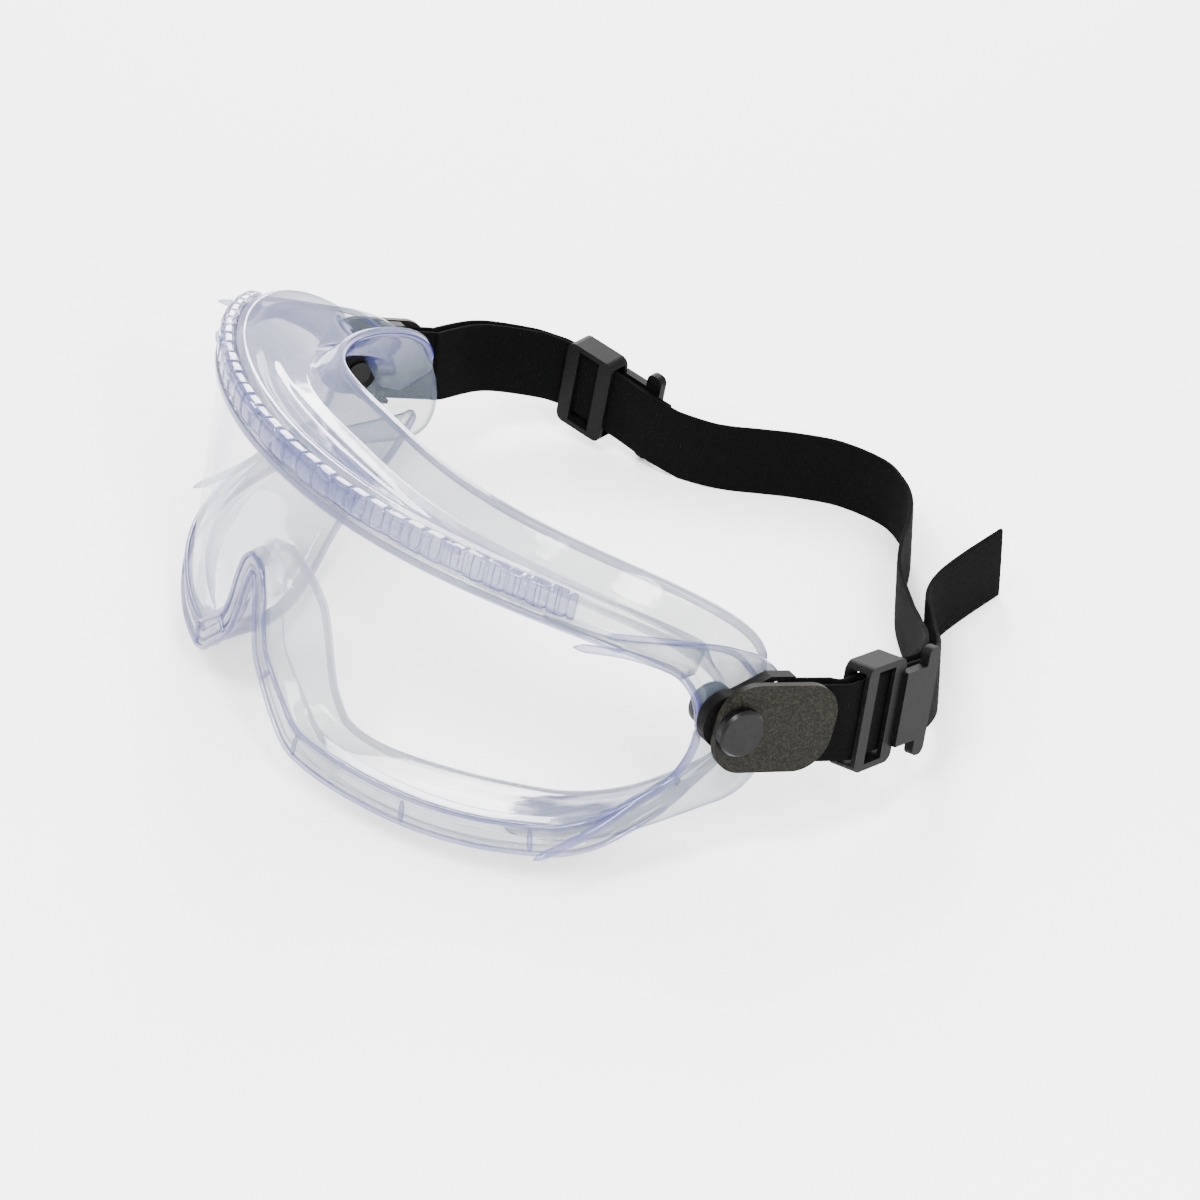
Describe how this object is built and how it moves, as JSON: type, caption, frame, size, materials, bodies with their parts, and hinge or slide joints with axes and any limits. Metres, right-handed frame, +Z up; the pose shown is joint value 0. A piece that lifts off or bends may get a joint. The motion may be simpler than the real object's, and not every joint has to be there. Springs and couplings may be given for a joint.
{
  "type": "safety goggles",
  "caption": "Clear wrap-around safety goggles: soft moulded body, clear lens, vent band, pivoting strap lugs, slide buckles and a woven elastic headband.",
  "frame": {"origin": "centre of the whole object in plan, on the table it stands on", "axes": "+X to the wearer's left, -Y the way the lens faces, +Z up; the goggles lean back 11.2 degrees on the lower edges of the cheeks and the back of the headband"},
  "size_m": [0.1821, 0.162, 0.0647],
  "materials": {
    "clear_pvc": "satin",
    "clear_polycarbonate": "gloss",
    "vent_clear": "satin",
    "black_plastic": "gloss",
    "black_nylon": "satin",
    "smoke_plastic": "satin",
    "black_webbing": "woven"
  },
  "bodies": {
    "mask": {"frame_body": "clear_pvc", "lens": "clear_polycarbonate", "vent_band": "vent_clear", "pivot_pins": "black_plastic", "pivot_washers": "black_nylon"},
    "headband": {"strap": "black_webbing", "lug_carrier_left": "black_nylon", "lug_cover_left": "smoke_plastic"},
    "right_lug": {"lug_carrier_right": "black_nylon", "lug_cover_right": "smoke_plastic"},
    "left_buckle": {"slide_buckle_left": "black_nylon"},
    "right_buckle": {"slide_buckle_right": "black_nylon"}
  },
  "joints": [
    {"name": "left_lug_pivot", "type": "hinge", "parent": "mask", "child": "headband", "pos_m": [0.0843, -0.01942, 0.0313], "axis": [1, 0, 0], "range_deg": [-20, 60]},
    {"name": "right_lug_pivot", "type": "hinge", "parent": "mask", "child": "right_lug", "pos_m": [-0.0843, -0.01942, 0.0313], "axis": [1, 0, 0], "range_deg": [-20, 60]},
    {"name": "left_buckle_slide", "type": "slide", "parent": "headband", "child": "left_buckle", "axis": [-0.4077, 0.8809, -0.2403], "range_m": [0, 0.002]},
    {"name": "right_buckle_slide", "type": "slide", "parent": "headband", "child": "right_buckle", "axis": [0.9087, 0.3592, -0.2127], "range_m": [-0.001, 0.002]}
  ],
  "couplings": [
    {"joint": "right_lug_pivot", "follows": "left_lug_pivot", "ratio": 1}
  ]
}
